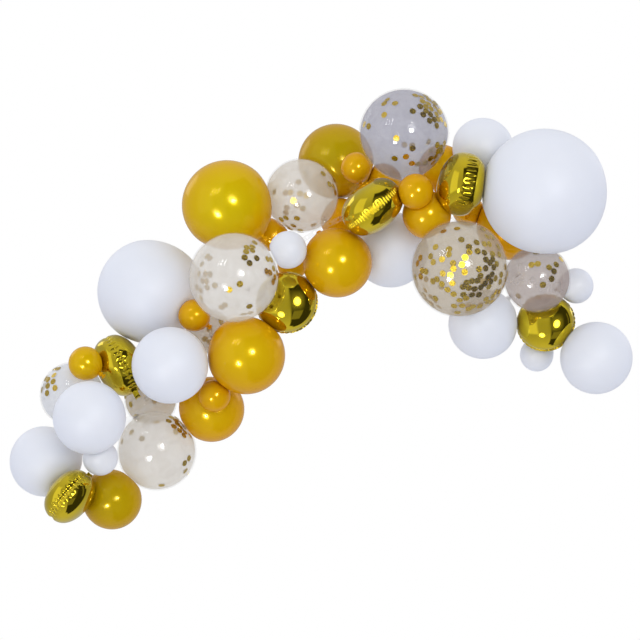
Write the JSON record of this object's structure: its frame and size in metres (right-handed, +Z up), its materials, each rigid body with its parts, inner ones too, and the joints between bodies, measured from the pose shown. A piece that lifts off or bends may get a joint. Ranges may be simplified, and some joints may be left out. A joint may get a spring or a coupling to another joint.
{
  "type": "balloon garland",
  "caption": "Arched garland of white, pearl gold, clear confetti and gold foil balloons packed along a clear hanging strip.",
  "frame": {"origin": "the hanging point: the middle of the strip at the crown of the arch", "axes": "+X along the arch to the right as seen from the front, +Y to the back, towards the wall or backdrop, +Z up"},
  "size_m": [1.9269, 0.6386, 1.3652],
  "materials": {
    "white_latex": "inflated white latex, satin",
    "gold_latex": "inflated pearl gold latex, soft gloss",
    "clear_latex": "inflated clear latex, slightly milky, glossy",
    "gold_foil": "metallised gold film, mirror bright, crimped at the seam",
    "clear_strip": "clear balloon tape, glossy"
  },
  "bodies": {
    "root": {"garland_strip": "clear_strip", "white_balloon_big_right": "white_latex", "white_balloon_top_right": "white_latex", "white_balloon_big_left": "white_latex", "white_balloon_mid_left": "white_latex", "white_balloon_left_front": "white_latex", "white_balloon_left_end": "white_latex", "white_balloon_centre": "white_latex", "white_balloon_mid_right": "white_latex", "white_balloon_right_end": "white_latex", "mini_white_balloon_centre": "white_latex", "mini_white_balloon_left": "white_latex", "mini_white_balloon_right": "white_latex", "mini_white_balloon_low_right": "white_latex", "gold_balloon_top_left": "gold_latex", "gold_balloon_top": "gold_latex", "gold_balloon_centre": "gold_latex", "gold_balloon_mid_left": "gold_latex", "gold_balloon_low_left": "gold_latex", "gold_balloon_left_end": "gold_latex", "gold_balloon_crown": "gold_latex", "gold_balloon_back_right": "gold_latex", "gold_balloon_back_top": "gold_latex", "gold_balloon_back_crown": "gold_latex", "gold_balloon_back_centre": "gold_latex", "mini_gold_balloon_mid_left": "gold_latex", "mini_gold_balloon_left": "gold_latex", "mini_gold_balloon_low_left": "gold_latex", "mini_gold_balloon_crown": "gold_latex", "mini_gold_balloon_top": "gold_latex", "mini_gold_balloon_back_left": "gold_latex", "mini_gold_balloon_back_low": "gold_latex", "mini_gold_balloon_back_right": "gold_latex", "confetti_balloon_top": "clear_latex", "confetti_balloon_mid_left": "clear_latex", "confetti_balloon_centre": "clear_latex", "confetti_balloon_front_right": "clear_latex", "confetti_balloon_right": "clear_latex", "confetti_balloon_left": "clear_latex", "confetti_balloon_low_left": "clear_latex", "confetti_balloon_back_mid": "clear_latex", "confetti_balloon_back_low": "clear_latex", "foil_balloon_crown": "gold_foil", "foil_balloon_right": "gold_foil", "foil_balloon_centre": "gold_foil", "foil_balloon_low_right": "gold_foil", "foil_balloon_left": "gold_foil", "foil_balloon_left_end": "gold_foil"}
  },
  "joints": []
}
